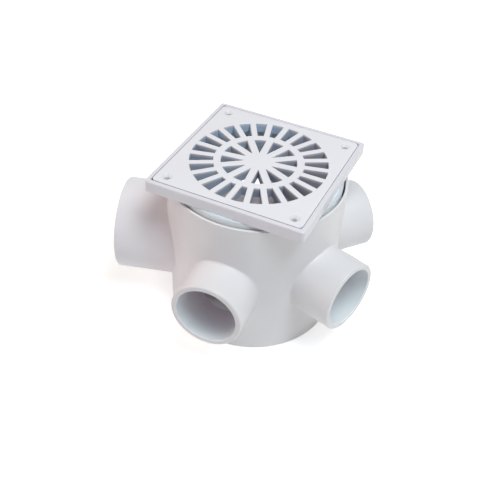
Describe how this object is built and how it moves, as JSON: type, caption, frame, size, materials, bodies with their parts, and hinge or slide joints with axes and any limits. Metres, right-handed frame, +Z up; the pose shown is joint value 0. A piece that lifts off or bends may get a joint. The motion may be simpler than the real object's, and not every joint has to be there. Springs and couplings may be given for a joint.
{
  "type": "gully trap",
  "caption": "Round plastic gully trap with side pipe sockets, a turning square frame with a slotted grating, and a pull-out water-seal bend inside.",
  "frame": {"origin": "centre of the flat underside", "axes": "+Z up through the grating; the outlet socket points along -X; the inlets are symmetric about the XZ plane"},
  "size_m": [0.2425, 0.2398, 0.1614],
  "materials": {
    "body_pvc": "satin gloss white rigid PVC",
    "frame_pvc": "satin gloss white rigid PVC",
    "grating_pvc": "satin white rigid PVC",
    "bend_pvc": "satin white rigid PVC",
    "seal_rubber": "matt black rubber",
    "plug_plastic": "satin white soft plastic"
  },
  "bodies": {
    "pot": {"body": "body_pvc", "trap_bend": "bend_pvc", "trap_ring": "seal_rubber", "cleaning_plug": "plug_plastic"},
    "frame": {"frame": "frame_pvc", "grating": "grating_pvc"}
  },
  "joints": [
    {"name": "frame_turn", "type": "hinge", "parent": "pot", "child": "frame", "pos_m": [0, 0, 0.1084], "axis": [0, 0, 1], "continuous": true}
  ]
}
